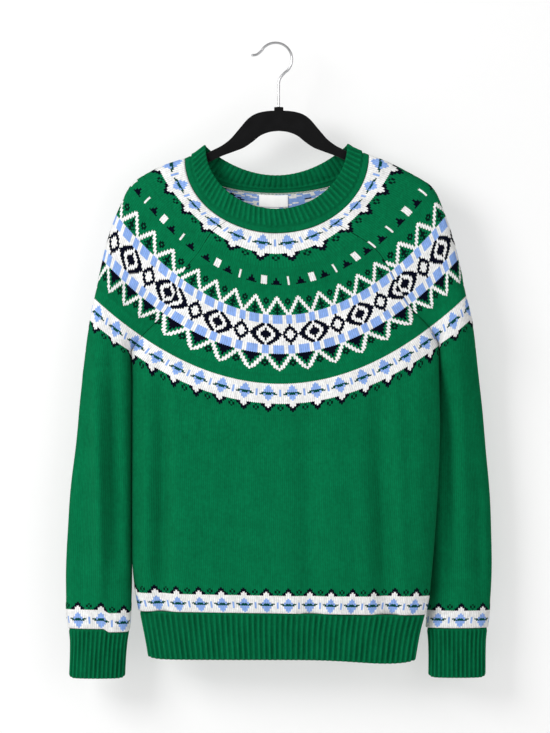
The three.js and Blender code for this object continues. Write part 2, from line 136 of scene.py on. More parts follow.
SLEEVES = {
    "left": table(
        ["place", "outerX", "outerZ", "innerX", "innerZ", "depth", "back"],
        [0, -240, -359, -188.2, -398, 19, 0],
        [0.11, -247, -401.7, -186.3, -434, 20, 1],
        [0.23, -254.2, -456.3, -186.2, -475, 20.5, 2],
        [0.33, -258.4, -496.6, -186.2, -508, 20.5, 2],
        [0.5, -265.5, -566.8, -186.3, -572, 20.5, 2],
        [0.67, -270, -633, -186.3, -635.7, 20.5, 2],
        [0.82, -272.4, -686.4, -186.3, -687.7, 20, 2],
        [0.9, -272.4, -718.9, -187, -718.9, 19, 2],
        [0.95, -272, -738.4, -187.8, -738.4, 18, 2],
        [1, -269.1, CUFF_TOP_Z, -189.2, CUFF_TOP_Z, 17, 2],
    ),
    "right": table(
        ["place", "outerX", "outerZ", "innerX", "innerZ", "depth", "back"],
        [0, 255, -356, 212, -390.6, 19, 0],
        [0.05, 258, -375, 210.4, -408, 19.5, 5],
        [0.11, 260.8, -396, 208.5, -428, 20, 10],
        [0.23, 267.5, -450, 205, -470, 20.5, 18],
        [0.33, 272, -500, 201.5, -512, 20.5, 20],
        [0.5, 277.6, -566.8, 199, -573, 20.5, 20],
        [0.67, 281.7, -634, 198.2, -637, 20.5, 20],
        [0.82, 282.3, -690, 198, -691, 20, 19],
        [0.93, 280.2, -733, 197.7, -733, 18.5, 17],
        [1, 276.9, CUFF_TOP_Z, 195.9, CUFF_TOP_Z, 17, 15],
    ),
}
CUFFS = {
    "left": table(
        ["place", "outer", "inner", "depth", "back"],
        [0, -268, -191, 16.6, 2],
        [0.3, -266.6, -193.6, 16, 2],
        [1, -267.8, -196.2, 15.5, 2],
    ),
    "right": table(
        ["place", "outer", "inner", "depth", "back"],
        [0, 275.6, 198.3, 16.6, 15],
        [0.3, 273.6, 199.8, 16, 14],
        [1, 273.2, 200, 15.5, 13],
    ),
}
NECK_EDGE = dict(
    front=-215, back=-169.5, leftX=-91.5, leftZ=-131, rightX=93.5, rightZ=-129.5,
    frontDepth=19.5, backDepth=16, frontRound=1, backRound=0.15,
)

# Soft creases in the hanging cloth. x goes from xTop at the height top to xLow at the height low,
# wide is half the crease's width and rise how far it stands out, or lies in where negative.
FOLD_COLUMNS = ["xTop", "xLow", "top", "low", "wide", "rise"]
FOLDS = {
    "front": table(
        FOLD_COLUMNS,
        [-164, -168, -400, -770, 9, 2.6],
        [-146, -148, -390, -770, 10, -3.6],
        [-122, -120, -430, -760, 14, 1.2],
        [-60, -48, -520, -745, 20, -1.2],
        [12, 22, -460, -740, 18, 0.9],
        [40, 47, -420, -790, 13, -2.2],
        [74, 84, -440, -780, 20, 1.4],
        [132, 146, -400, -780, 14, -4.2],
        [156, 166, -430, -760, 11, 1.6],
        [186, 184, -400, -740, 12, 1.2],
        [108, 118, -470, -760, 12, 1.1],
    ),
    "back": table(
        FOLD_COLUMNS,
        [-150, -156, -410, -770, 14, 2],
        [-118, -124, -380, -740, 16, -2.6],
        [-30, -46, -430, -780, 20, 1.2],
        [20, 12, -500, -760, 18, -1.5],
        [96, 108, -420, -790, 19, 1.3],
        [150, 158, -400, -760, 16, -2.6],
    ),
    "sleeve_left": table(
        FOLD_COLUMNS,
        [-232, -226, -370, -735, 8, 4.2],
        [-213, -205, -330, -690, 9, -3.2],
        [-251, -254, -430, -745, 9, -1.8],
    ),
    "sleeve_right": table(
        FOLD_COLUMNS,
        [238, 246, -370, -720, 10, 2],
        [222, 226, -440, -745, 9, -2.4],
        [263, 268, -520, -740, 8, -1.4],
    ),
}


def ease(s):
    return s * s * (3 - 2 * s)


def read(rows, column, place):
    """One column of a table, smoothly, at places along it."""
    knots, values = rows["place"], rows[column]
    last = len(knots) - 1
    at = np.clip(place, knots[0], knots[-1])
    i = np.clip(np.searchsorted(knots, at, side="left") - 1, 0, last - 1)
    knot = np.arange(last + 1)
    before, after = np.maximum(knot - 1, 0), np.minimum(knot + 1, last)
    slope = (values[after] - values[before]) / (knots[after] - knots[before])
    span = knots[i + 1] - knots[i]
    s = (at - knots[i]) / span
    rise = ease(s)
    return (
        values[i] * (1 - rise) + values[i + 1] * rise
        + span * (slope[i] * s * (1 - s) ** 2 - slope[i + 1] * s * s * (1 - s))
    )


def lerp(a, b, share):
    return a + (b - a) * share


def flattened(across):
    """Half a flat oval's thickness at a share of its half width."""
    return np.sqrt(np.maximum(0, 1 - across**4))


def faired(point, ring, start, below):
    """A point below the underarm, moved so that the part there begins on the yoke's last ring."""
    return point + (ring - start) * ((1 - below) ** FAIRING_POWER)[..., None]


def points(x, y, z):
    return np.stack(np.broadcast_arrays(x, y, z), -1)


def hollow(place):
    """How far the underarm hollow has opened: 0 high on the yoke, 1 at the underarm."""
    return np.clip((place - HOLLOW_START) / (1 - HOLLOW_START), 0, 1) ** HOLLOW_POWER


def climb(across, round_):
    circle = 1 - np.sqrt(np.maximum(0, 1 - across * across))
    return lerp(across * across, circle, round_)


def yoke_half(place):
    """The middle and the half width of a ring of the yoke."""
    left, right = read(YOKE, "leftX", place), read(YOKE, "rightX", place)
    return (left + right) / 2, (right - left) / 2


def yoke_point(place, across, depth, side):
    """A point on a ring of the yoke; side is -1 on the front and 1 on the back."""
    middle, half = yoke_half(place)
    low = np.where(np.asarray(side) < 0, read(YOKE, "front", place), read(YOKE, "back", place))
    high = np.where(across < 0, read(YOKE, "leftZ", place), read(YOKE, "rightZ", place))
    z = lerp(low, high, climb(across, read(YOKE, "round", place)))
    return points(middle + half * across, side * depth, z)


def hem_seam(across):
    return HEM_TOP_Z - HEM_TILT * across


def body_point(rows, place, across, side, z):
    x = lerp(read(rows, "left", place), read(rows, "right", place), (1 + across) / 2)
    depth = read(rows, "depth", place) * flattened(across) + SEAM_GAP / 2
    swing = read(rows, "swing", place) * ((1 + across) / 2) ** 4
    return points(x, side * depth + swing, z)


def panel_point(side):
    """The front (side -1) or back (1): level 0 to 1 is the yoke and 1 to 2 the body."""

    def at(level, turn):
        across = np.sin(math.pi / 2 * np.asarray(turn))
        place = np.minimum(level, 1)
        half = yoke_half(place)[1]
        inset = SEAM_GAP / half
        left = -np.sin(np.radians(read(YOKE, "leftRaglan", place))) + inset
        right = np.sin(np.radians(read(YOKE, "rightRaglan", place))) - inset
        ring_across = lerp(left, right, (1 + across) / 2)
        wide = read(YOKE, "depth", place)
        joined = wide * (1 - ring_across**2) ** 0.25
        parted = wide * flattened(across) + SEAM_GAP / 2
        ring = yoke_point(place, ring_across, lerp(joined, parted, hollow(place)), side)
        below = np.maximum(level - 1, 0)
        z = lerp(ring[..., 2], hem_seam(across), below)
        point = body_point(BODY, below, across, side, z)
        start = body_point(BODY, 0.0, across, side, ring[..., 2])
        return faired(point, ring, start, below)

    return at


def level_rows(side):
    """Turns levels of the body into ones whose rows lie level with the hem low down."""
    at = panel_point(side)

    def warp(level, turn):
        below = np.maximum(level - 1, 0)
        ring = at(np.ones_like(below), turn)[..., 2]
        middle = YOKE["front"][-1]
        seam = hem_seam(np.sin(math.pi / 2 * turn))
        z = lerp(middle, seam, below) + (ring - middle) * np.maximum(0, 1 - below) ** 1.5
        return np.where(level > 1, 1 + (ring - z) / (ring - seam), level)

    return warp


def cuff_drop(hand, point, middle):
    """How far the front of the left cuff's seam sags beyond its crease."""
    if hand != "left":
        return 0.0
    beyond = np.clip((point[..., 0] - CUFF_CREASE_X) / 9, 0, 1)
    front = np.clip((middle - point[..., 1]) / 7, 0, 1)
    return CUFF_DROP * ease(beyond) * front


def tube_point(hand, place, turn):
    rows = SLEEVES[hand]
    side, round_ = np.where(turn < 0, -1, 1), np.abs(turn)
    share = (1 - np.cos(math.pi * round_)) / 2
    depth = read(rows, "depth", place) * np.sin(math.pi * round_) + SEAM_GAP / 2 * round_
    point = points(
        lerp(read(rows, "outerX", place), read(rows, "innerX", place), share),
        read(rows, "back", place) + side * depth,
        lerp(read(rows, "outerZ", place), read(rows, "innerZ", place), share),
    )
    sag = cuff_drop(hand, point, read(rows, "back", place)) * np.clip((place - 0.7) / 0.2, 0, 1)
    return point - points(0, 0, sag)


def sleeve_point(hand):
    """A sleeve: level 0 to 1 is its part of the yoke and 1 to 2 its tube."""
    sign = -1 if hand == "left" else 1

    def at(level, turn):
        turn = np.asarray(turn, float)
        side, round_ = np.where(turn < 0, -1, 1), np.abs(turn)
        place = np.minimum(level, 1)
        half = yoke_half(place)[1]
        raglan = np.radians(read(YOKE, hand + "Raglan", place)) + SEAM_GAP / 2 / half
        opened = hollow(place)
        angle = math.pi / 2 - (math.pi / 2 - raglan) * round_**2
        edge = np.sin(raglan)
        loop = (1 + edge) / 2 + (1 - edge) / 2 * np.cos(math.pi * round_)
        joined = read(YOKE, "depth", place) * np.sqrt(np.maximum(0, np.cos(angle)))
        parted = SLEEVES[hand]["depth"][0] * np.sin(math.pi * round_) + SEAM_GAP / 2 * round_
        across = sign * lerp(np.sin(angle), loop, opened)
        ring = yoke_point(place, across, lerp(joined, parted, opened), side)
        below = np.maximum(level - 1, 0)
        start = tube_point(hand, 0.0, turn)
        return faired(tube_point(hand, below, turn), ring, start, below)

    return at


def hem_point(side):
    def at(place, turn):
        across = np.sin(math.pi / 2 * turn)
        sag = HEM_SAG * np.exp(-(((across - HEM_SAG_AT) / HEM_SAG_WIDTH) ** 2))
        sag = sag - CORNER_LIFT * across**24
        z = lerp(hem_seam(across) - SEAM_GAP, HEM_BOTTOM_Z - sag, place)
        return body_point(HEM, place, across, side, z)

    return at


def cuff_point(hand):
    rows = CUFFS[hand]

    def at(place, turn):
        angle = 2 * math.pi * turn
        bottom = CUFF_BOTTOM_Z + CORNER_LIFT * np.cos(angle) ** 16
        point = points(
            lerp(read(rows, "inner", place), read(rows, "outer", place), (1 - np.cos(angle)) / 2),
            read(rows, "back", place) - read(rows, "depth", place) * np.sin(angle),
            lerp(CUFF_TOP_Z - SEAM_GAP, bottom, place),
        )
        sag = cuff_drop(hand, point, read(rows, "back", place)) * (1 - place) ** 1.5
        return point - points(0, 0, sag)

    return at


def neck_point(place, turn):
    """The neckband; turn goes once round from the left side by the front."""
    turn = np.mod(turn, 1.0)
    side = np.where(turn < 0.5, -1, 1)
    along = np.where(turn < 0.5, turn * 4 - 1, 3 - turn * 4)
    angle = np.sign(along) * math.pi / 2 * (1 - (1 - np.abs(along)) ** 2)
    across, deep = np.sin(angle), np.sqrt(np.maximum(0, np.cos(angle)))
    seam = yoke_point(0.0, across, read(YOKE, "depth", 0.0) * deep, side)
    below = yoke_point(0.03, across, read(YOKE, "depth", 0.03) * deep, side)
    low = np.where(side < 0, NECK_EDGE["front"], NECK_EDGE["back"])
    high = np.where(across < 0, NECK_EDGE["leftZ"], NECK_EDGE["rightZ"])
    round_ = np.where(side < 0, NECK_EDGE["frontRound"], NECK_EDGE["backRound"])
    reach = np.where(side < 0, NECK_EDGE["frontDepth"], NECK_EDGE["backDepth"])
    edge = points(
        lerp(NECK_EDGE["leftX"], NECK_EDGE["rightX"], (1 + across) / 2),
        side * deep * reach,
        lerp(low, high, climb(across, round_)),
    )
    width = np.linalg.norm(edge - seam, axis=-1, keepdims=True)
    leave = seam - below
    leave = leave / np.linalg.norm(leave, axis=-1, keepdims=True) * width
    start = NECK_GAP / width
    p = start + (1 - start) * np.asarray(place)[..., None]
    rise = ease(p)
    curve = leave * p * (1 - p) ** 2 - (edge - seam) * p * p * (1 - p)
    return seam * (1 - rise) + edge * rise + curve


# ---- charts

YARNS = {
    ".": (0.0011, 0.150, 0.055),  # green
    "W": (0.84, 0.84, 0.83),  # white
    "B": (0.255, 0.41, 0.80),  # light blue
    "T": (0.0015, 0.055, 0.042),  # dark teal
    "N": (0.0016, 0.0022, 0.0095),  # navy
    "K": (0.0008, 0.012, 0.009),  # navy seen small against green
}
YARN_NAMES = list(YARNS)
YARN_COLOURS = np.array([YARNS[name] for name in YARN_NAMES])

# Each line is half a motif, from its middle column outwards, and is mirrored. Rows run from the
# neck towards the hem.
DIAMOND = [
    "WWWWWWW",
    "BWWWWWW",
    "BBWWWWW",
    "BBWWWWW",
    "BBBWWWB",
    "BBBWWWB",
    "TTTTWWB",
    "TTBTTWB",
    "BBBWWWB",
    "BBWWWWW",
    "BBWWWWW",
    "BWWWWWW",
    "WWWWWWW",
    "WWWWWWW",
    "WWNN...",
    "WWNN..K",
    "WNN..K.",
    "NN...K.",
    "NN....K",
    "N......",
]
# A white square, a navy triangle, a white stroke; mirrored, so the triangle comes twice.
SPRIGS = [
    "WW..........W",
    "WW....N.....W",
    "WW....N.....W",
    "WW...NNN....W",
    "WW...NNN....W",
    "WW..NNNNN...W",
]
SQUARES = 6 * ["BBBWWBB"]
ZIGZAG = [
    "W......",
    "WW....K",
    "WW...KK",
    ".WW..K.",
    ".WW..KK",
    "K.WW..K",
    "K.WW...",
    "K..WW..",
    "KK.WW..",
    "KK..WW.",
    "K.K.WW.",
    "KK...WW",
    "K....WW",
] + SQUARES
ZIGZAG_LOW = SQUARES + [
    "NNNN.WW",
    "NNNN.WW",
    "NNN.WW.",
    "NN..WW.",
    "NN.WW.K",
    "N..WWKK",
    "N.WW.K.",
    "..WW.KK",
    ".WW...K",
    ".WW....",
    "WW.....",
    "W......",
]
# Half of the diamond rows, from the middle row outwards; each line runs from the big diamond's
# middle to the small diamond's, 12 stitches away.
LATTICE = [
    "NNNWWNNNNNWWW",
    "NNNWWNNNWNNWW",
    "NNWWNNNWWNNWW",
    "NWWWNNNWWWNNW",
    "NWWNNNWWWWNNN",
    "WWNNNWWWWWWNN",
    "WNNNWWWWWWWWN",
    "WNNWWWWWWWWWN",
]


def mirrored(lines, repeat):
    """The full repeat of a chart whose lines run from its middle out to half a repeat."""
    grid = np.array([[YARN_NAMES.index(c) for c in line] for line in lines])
    columns = np.abs((np.arange(repeat) + repeat // 2) % repeat - repeat // 2)
    return grid[:, columns]


def star_band():
    """The widest band: zigzag, squares, big and small diamonds, squares, zigzag."""
    lattice = mirrored(LATTICE, 24)
    lattice = np.concatenate([lattice[:0:-1], lattice])
    # Column 0 is a wide square, with the big diamond six stitches to its left.
    lattice = np.roll(lattice, -6, axis=1)
    top, low = mirrored(ZIGZAG, 12), mirrored(ZIGZAG_LOW, 12)
    return np.concatenate([np.tile(top, 2), lattice, np.tile(low, 2)])


PEERIE = mirrored(DIAMOND, 12)
SPRIG = mirrored(SPRIGS, 24)
STAR = star_band()
TRIM = len(PEERIE)

# The yoke's bands: first row, chart, and the chart's column at the middle of the front. Then
# the columns at which each sleeve takes the chart up at its front seam; they overlap the
# front's by a few, so the motifs are cut there as they are where panels are sewn.
BANDS = [
    dict(row=0, chart=PEERIE, front=6, left=None, right=None),
    dict(row=30, chart=SPRIG, front=6, left=-26, right=49),
    dict(row=44, chart=STAR, front=0, left=-51, right=63),
    dict(row=105, chart=PEERIE, front=6, left=-71, right=95),
]


def paint(first, last, count, charts):
    """Yarn numbers for rows first to last of a strip of count stitches. Each chart comes with
    its first row, its column at the strip's first stitch and which way its columns run."""
    grid = np.zeros((last - first, count), int)
    for start, chart, column, way in charts:
        columns = (column + way * np.arange(count)) % chart.shape[1]
        for i, line in enumerate(chart):
            if first <= start + i < last:
                grid[start + i - first] = line[columns]
    return grid


# ---- mesh making


class Shell:
    """Collects vertices and faces, with a yarn number for each face."""

    def __init__(self):
        self.points, self.stitches, self.count = [], [], 0
        self.faces = {4: [], 3: []}  # by number of corners: vertex numbers, yarns, smoothness

    def add(self, places, stitch):
        """places and stitch are (rows, columns, 3) arrays; returns their vertex numbers."""
        rows, columns = places.shape[:2]
        self.points.append(places.reshape(-1, 3))
        self.stitches.append(np.broadcast_to(stitch, places.shape).reshape(-1, 3))
        numbers = self.count + np.arange(rows * columns).reshape(rows, columns)
        self.count += rows * columns
        return numbers

    def add_faces(self, faces, yarns, smooth):
        yarns = np.broadcast_to(yarns, len(faces))
        self.faces[faces.shape[1]].append((faces, yarns, np.full(len(faces), smooth)))

    def grid(self, numbers, yarns, flip=False, closed=False, smooth=True):
        if closed:
            numbers = np.concatenate([numbers, numbers[:, :1]], axis=1)
        a, b = numbers[:-1, :-1], numbers[:-1, 1:]
        c, d = numbers[1:, 1:], numbers[1:, :-1]
        quads = np.stack([a, b, c, d] if flip else [a, d, c, b], -1).reshape(-1, 4)
        self.add_faces(quads, np.broadcast_to(yarns, a.shape).reshape(-1), smooth)

    def zip(self, first, second, yarn, flip=False, smooth=True):
        """Joins two lines of vertices that run the same way but differ in number."""
        i = j = 0
        n, m = len(first) - 1, len(second) - 1
        faces = []
        while i < n or j < m:
            if j == m or (i < n and (i + 0.5) * m <= (j + 0.5) * n):
                faces.append((first[i], first[i + 1], second[j]))
                i += 1
            else:
                faces.append((first[i], second[j + 1], second[j]))
                j += 1
        faces = np.array(faces)
        self.add_faces(faces if flip else faces[:, ::-1], yarn, smooth)

    def build(self, name):
        groups = self.faces[4] + self.faces[3]
        corners = np.concatenate([faces.ravel() for faces, _, _ in groups])
        yarns, smooth = (np.concatenate([group[k] for group in groups]) for k in (1, 2))
        sizes = np.concatenate([np.full(len(faces), faces.shape[1]) for faces, _, _ in groups])
        starts = np.cumsum(sizes) - sizes
        mesh = bpy.data.meshes.new(name)
        mesh.vertices.add(self.count)
        places = np.concatenate(self.points) * MM
        mesh.vertices.foreach_set("co", places.astype(np.float32).ravel())
        mesh.loops.add(len(corners))
        mesh.loops.foreach_set("vertex_index", corners.astype(np.int32))
        mesh.polygons.add(len(starts))
        mesh.polygons.foreach_set("loop_start", starts.astype(np.int32))
        mesh.update(calc_edges=True)
        mesh.polygons.foreach_set("use_smooth", smooth)
        colour = np.ones((len(corners), 4), np.float32)
        colour[:, :3] = np.repeat(YARN_COLOURS[yarns], sizes, axis=0)
        layer = mesh.color_attributes.new("yarn", "FLOAT_COLOR", "CORNER")
        layer.data.foreach_set("color", colour.ravel())
        stitch = mesh.attributes.new("stitch", "FLOAT_VECTOR", "POINT")
        vectors = np.concatenate(self.stitches)
        stitch.data.foreach_set("vector", vectors.astype(np.float32).ravel())
        made = bpy.data.objects.new(name, mesh)
        bpy.context.scene.collection.objects.link(made)
        return made


def surface(at, level, turn, outward, warp=None):
    """Points of a surface, its unit normals and their sign; outward is a rough direction out of
    it at its points."""
    if warp is not None:
        level = warp(level, turn)
    place = at(level, turn)
    step = 1e-4
    high = 2 if np.max(level) > 1 else 1
    up = at(np.clip(level - step, 0, high), turn)
    down = at(np.clip(level + step, 0, high), turn)
    before, after = at(level, turn - step), at(level, turn + step)
    normal = np.cross(after - before, down - up)
    normal /= np.maximum(np.linalg.norm(normal, axis=-1, keepdims=True), 1e-12)
    middle = tuple(s // 3 for s in normal.shape[:2])
    sign = np.sign(np.dot(normal[middle], outward(place[middle])))
    return place, normal * sign, sign


def away_from(middle):
    """Outward of a flat tube whose middle plane is at y = middle."""
    return lambda place: np.array([0.0, -1.0 if place[1] < middle else 1.0, 0.0])


def towards(side):
    return lambda place: np.array([0.0, side, 0.0])


def even_turns(at, levels, count, low=-1.0, high=1.0, middle=None, samples=361):
    """For each level, turns at even distances along the row: count steps from low to high, or
    with a middle turn for each level, count[0] steps up to it and count[1] beyond it."""
    turns = np.linspace(low, high, samples)
    line = at(levels[:, None], turns[None, :])
    steps = np.linalg.norm(np.diff(line, axis=1), axis=-1)
    run = np.concatenate([np.zeros((len(levels), 1)), np.cumsum(steps, axis=1)], axis=1)
    rows = []
    for k, r in enumerate(run):
        if middle is None:
            places = np.linspace(0, r[-1], count + 1)
        else:
            half = np.interp(middle[k], turns, r)
            places = np.concatenate([
                np.linspace(0, half, count[0] + 1), np.linspace(half, r[-1], count[1] + 1)[1:],
            ])
        rows.append(np.interp(places, r, turns))
    return np.array(rows), run[:, -1]


def middle_turns(at, levels, line):
    """The turn of a panel's middle stitch at each level: where its x is that of a plumb line."""
    turns = np.linspace(-0.5, 0.5, 101)
    place = at(levels[:, None], turns[None, :])
    gap = place[..., 0] - np.interp(-place[..., 2], *line)
    return np.array([np.interp(0.0, row, turns) for row in gap])


def crease(name, place):
    """How far the folds lift a point."""
    rows = FOLDS.get(name)
    lift = np.zeros(place.shape[:-1])
    if rows is None:
        return lift
    x, z = place[..., 0], place[..., 2]
    for i in range(len(rows["top"])):
        share = (z - rows["low"][i]) / (rows["top"][i] - rows["low"][i])
        middle = lerp(rows["xLow"][i], rows["xTop"][i], share)
        inside = np.clip(share, 0, 1)
        window = np.sin(math.pi * inside ** 0.8) ** 0.8
        across = np.exp(-(((x - middle) / rows["wide"][i]) ** 2))
        lift += FOLD_DEPTH * rows["rise"][i] * window * across
    return lift


def wander(x, z, size, seed):
    """Slow unevenness: a few waves in different directions, from -1 to 1."""
    total = np.zeros(np.broadcast(x, z).shape)
    for k in range(4):
        angle = seed * 1.7 + k * 2.4
        wave = size * (1 + 0.37 * k)
        total = total + np.sin(
            (x * math.cos(angle) + z * math.sin(angle)) * 2 * math.pi / wave + seed * 3.1 + k
        )
    return total / 4


def knit_panel(name, at, rows_to_level, total_rows, zones, charts_for, middle_for, outward,
               seed, warp=None, inner_rows=None, inner_yarns=None):
    """A panel of stocking stitch: fine outer face, plain inner face, and the rim between.

    zones are (first row, last row, stitches before the middle, stitches after it).
    """
    shell, strips = Shell(), []
    for index, (first, last, before, after) in enumerate(zones):
        count = before + after
        lines = np.arange(first, last + 1, dtype=float)
        if index > 0:
            lines[0] += 0.5
        if index < len(zones) - 1:
            lines[-1] -= 0.5
        levels = rows_to_level(lines)
        turns, _ = even_turns(at, levels, (2 * before, 2 * after), middle=middle_for(levels))
        column = np.arange(2 * count + 1)
        slant = np.where(column % 2 == 1, LEG_SLANT, 0.0)[None, :] * np.ones((len(lines), 1))
        slant[0] = slant[-1] = 0
        level = rows_to_level(np.clip(lines[:, None] + slant, 0, total_rows))
        base, normal, sign = surface(at, level, turns, outward, warp)
        charts = charts_for(before, after)
        flat = np.ones(len(lines))
        flat[0] = flat[-1] = ZONE_RELIEF
        lift = np.where(column % 2 == 1, RELIEF_RISE, -RELIEF_FALL) * flat[:, None]
        lift[:, 0] = lift[:, -1] = EDGE_RELIEF
        from_edge = np.minimum(column, 2 * count - column) / 2 * STITCH_WIDE
        calm = np.clip(from_edge / CALM_WIDE, 0, 1)[None, :]
        slow = wander(base[..., 0], base[..., 2], UNEVEN_WAVE, seed)
        lift = lift + crease(name, base) + calm * UNEVEN * slow
        # Stranded bands are double and stand a little proud.
        stranded = np.zeros(len(lines))
        for start, chart, _, _ in charts:
            edge = np.minimum(lines - start, start + len(chart) - lines)
            stranded = np.maximum(stranded, np.clip(edge / 2, 0, 1) * STRANDED_RISE)
        # Cloth turns in at its side seams, below the yoke.
        tuck = SEAM_TUCK * np.clip((levels - 0.9) / 0.15, 0, 1)
        lift = lift + stranded[:, None]
        lift = lift - tuck[:, None] * np.exp(-((from_edge / SEAM_TUCK_WIDE) ** 2))[None, :]
        # The first number counts wales; the material paints shade into the grooves between them.
        stitch = points((column / 2)[None, :], lines[:, None], 0.0)
        numbers = shell.add(base + normal * lift[..., None], stitch)
        yarns = np.repeat(paint(first, last, count, charts), 2, axis=1)
        shell.grid(numbers, yarns, flip=sign > 0)
        if strips:
            shell.zip(strips[-1][-1], numbers[0], 0, flip=sign > 0)
        strips.append(numbers)
    # The inner face, coarser.
    if inner_rows is None:
        inner_rows = np.linspace(0, total_rows, total_rows // INNER_ROWS)
    levels = rows_to_level(inner_rows)
    turns, _ = even_turns(at, levels, INNER_COLUMNS)
    level = levels[:, None] * np.ones_like(turns)
    base, normal, sign = surface(at, level, turns, outward, warp)
    inner = base + normal * (crease(name, base) - CLOTH)[..., None]
    along = np.arange(INNER_COLUMNS + 1)[None, :] * 1.0
    numbers = shell.add(inner, points(along, inner_rows[:, None], 1.0))
    shell.grid(numbers, 0 if inner_yarns is None else inner_yarns, flip=sign < 0)
    left, right = (np.concatenate([strip[:, k] for strip in strips]) for k in (0, -1))
    for rim, edge, way in (
        (strips[0][0], numbers[0], -1), (strips[-1][-1], numbers[-1], 1),
        (left, numbers[:, 0], 1), (right, numbers[:, -1], -1),
    ):
        shell.zip(rim, edge, 0, flip=sign * way > 0, smooth=False)
    return shell.build(name + "_knit")


def rib_piece(name, at, pitch, tall, outward, closed=False, plain=0.0, amplitude=1.05, wave=0.0):
    """A two-by-two rib, corrugated on both faces. plain is the share next to the seam that is
    stocking stitch, ended by a picked-up ridge. A closed one takes its turns from 0 to 1."""
    low = 0.0 if closed else -1.0
    _, run = even_turns(at, np.array([0.5]), 8, low, 1.0)
    count = RIB_STEPS * int(round(run[0] / pitch))
    rows = int(round(tall / RIB_ROW_TALL))
    places = np.linspace(0, 1, rows + 1)
    turns, _ = even_turns(at, places, count, low, 1.0)
    if closed:
        turns = turns[:, :-1]
    level = places[:, None] * np.ones_like(turns)
    base, normal, sign = surface(at, level, turns, outward)
    phase = np.arange(turns.shape[1]) / RIB_STEPS
    profile = np.tanh(RIB_SQUARE * np.sin(2 * math.pi * phase)) / math.tanh(RIB_SQUARE)
    strength = ease(np.clip((places - plain) / RIB_TAPER, 0, 1))
    uneven = 1 + 0.25 * np.sin(phase * 1.13 + 2.0)[None, :] * np.sin(places * 5 + 1)[:, None]
    lift = amplitude * profile[None, :] * strength[:, None] * uneven
    if plain:
        groove = np.exp(-(((places - plain) / PICKED_UP_TALL) ** 2))
        ridge = np.exp(-(((places - plain - RIDGE_BELOW) / RIDGE_TALL) ** 2))
        lift = lift - PICKED_UP * groove[:, None]
        lift = lift + RIDGE * ridge[:, None]
    lift = lift + wave * wander(base[..., 0], base[..., 2], RIB_WAVE, 2.0)
    end = np.clip((1 - places) / ROUND_OFF_TALL, 0, 1)[:, None]
    round_off = ROUND_OFF * (1 - np.sqrt(np.maximum(0, 1 - (1 - end) ** 2)))
    outer = base + normal * (lift - round_off)[..., None]
    inner = base + normal * (lift - RIB_CLOTH + round_off)[..., None]
    shell = Shell()
    courses = (places * tall / ROW_TALL)[:, None]
    # The third number is the rib's height, which the rib material turns into painted shade in its
    # valleys.
    stitch = points(4 * phase[None, :], courses, profile[None, :] * strength[:, None])
    out, into = shell.add(outer, stitch), shell.add(inner, stitch)
    shell.grid(out, 0, flip=sign > 0, closed=closed)
    shell.grid(into, 0, flip=sign < 0, closed=closed)
    for line, way in ((0, 1), (-1, -1)):
        pair = np.stack([into[line], out[line]])
        shell.grid(pair, 0, flip=sign * way > 0, closed=closed, smooth=line == -1)
    if not closed:
        for line, way in ((0, -1), (-1, 1)):
            pair = np.stack([into[:, line], out[:, line]])
            shell.grid(pair, 0, flip=sign * way > 0, smooth=False)
    return shell.build(name + "_knit")


# ---- materials


def new_material(name):
    made = bpy.data.materials.new(name)
    made.use_nodes = True
    tree = made.node_tree
    tree.nodes.clear()
    out = tree.nodes.new("ShaderNodeOutputMaterial")
    shader = tree.nodes.new("ShaderNodeBsdfPrincipled")
    tree.links.new(shader.outputs["BSDF"], out.inputs["Surface"])
    return made, tree, shader


def fill(tree, made, inputs):
    """Sets or links a node's inputs, by name or, for i0 to i2, by number."""
    for key, value in inputs.items():
        socket = made.inputs[int(key[1]) if key in ("i0", "i1", "i2") else key]
        if isinstance(value, bpy.types.NodeSocket):
            tree.links.new(value, socket)
        else:
            socket.default_value = value


def node(tree, kind, settings=None, **inputs):
    made = tree.nodes.new(kind)
    for key, value in (settings or {}).items():
        setattr(made, key, value)
    fill(tree, made, inputs)
    return made


def maths(tree, operation, a, b=0.0):
    return node(tree, "ShaderNodeMath", {"operation": operation}, i0=a, i1=b).outputs[0]


def spread(tree, share, low, high):
    """A value from low to high as share goes from 0 to 1."""
    return maths(tree, "ADD", maths(tree, "MULTIPLY", share, high - low), low)


def noise(tree, place, scale, detail):
    found = node(tree, "ShaderNodeTexNoise", Vector=place, Scale=scale, Detail=detail)
    return found.outputs["Fac"]


def stretched(tree, place, along_z):
    """The place for a texture that is drawn out along Z."""
    return node(tree, "ShaderNodeMapping", Vector=place, Scale=(1.0, 1.0, along_z)).outputs[0]


def two_tone(tree, share, low, high):
    """A grey from low to high as share goes from 0 to 1."""
    ramp = node(tree, "ShaderNodeValToRGB", Fac=share)
    for element, colour in zip(ramp.color_ramp.elements, (low, high)):
        element.color = (*colour, 1)
    return ramp.outputs[0]


def relief(tree, height, strength, distance):
    return node(
        tree, "ShaderNodeBump", Height=height, Strength=strength, Distance=distance,
    ).outputs[0]
